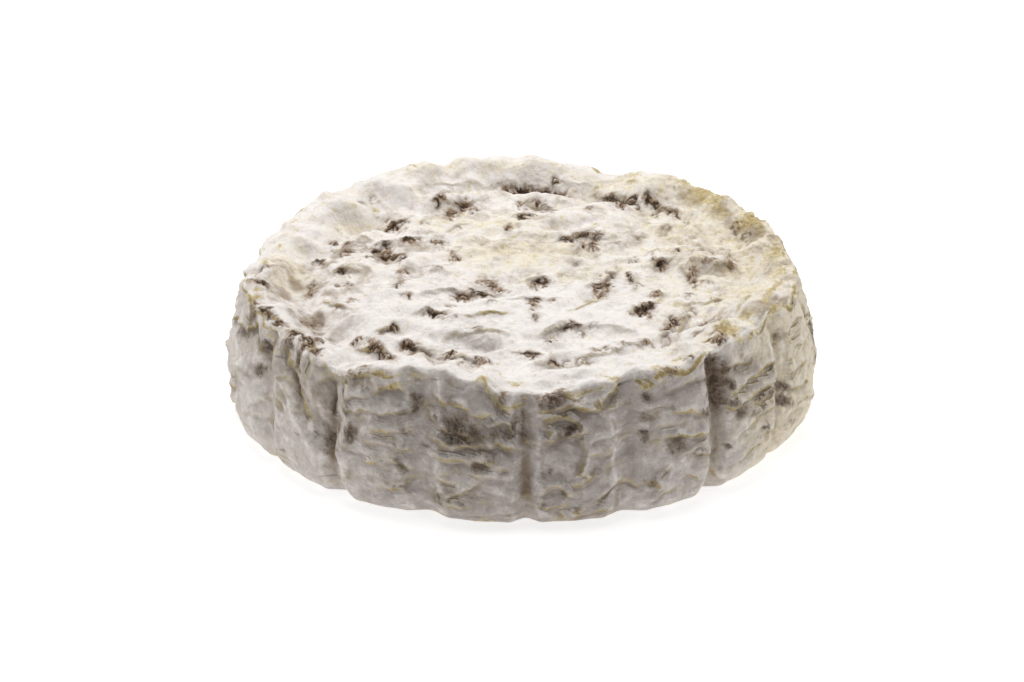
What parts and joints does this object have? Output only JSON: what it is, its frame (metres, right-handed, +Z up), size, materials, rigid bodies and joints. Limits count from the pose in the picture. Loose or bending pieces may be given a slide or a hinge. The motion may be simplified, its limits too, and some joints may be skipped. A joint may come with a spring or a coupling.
{
  "type": "goat brie wheel",
  "caption": "Low round wheel of mould-ripened soft goat cheese, with a fluted wall, a sunken wrinkled top and an uneven raised rim.",
  "frame": {"origin": "middle of the wheel's bounding box at the level of its flat foot", "axes": "+Z up through the wheel, -Y towards the side the picture shows in front, +X to that view's right"},
  "size_m": [0.131, 0.131, 0.0365],
  "materials": {
    "bloomy_rind": "matt, felt-like white mould with grey-brown spots"
  },
  "bodies": {
    "root": {"cheese_wheel": "bloomy_rind"}
  },
  "joints": []
}
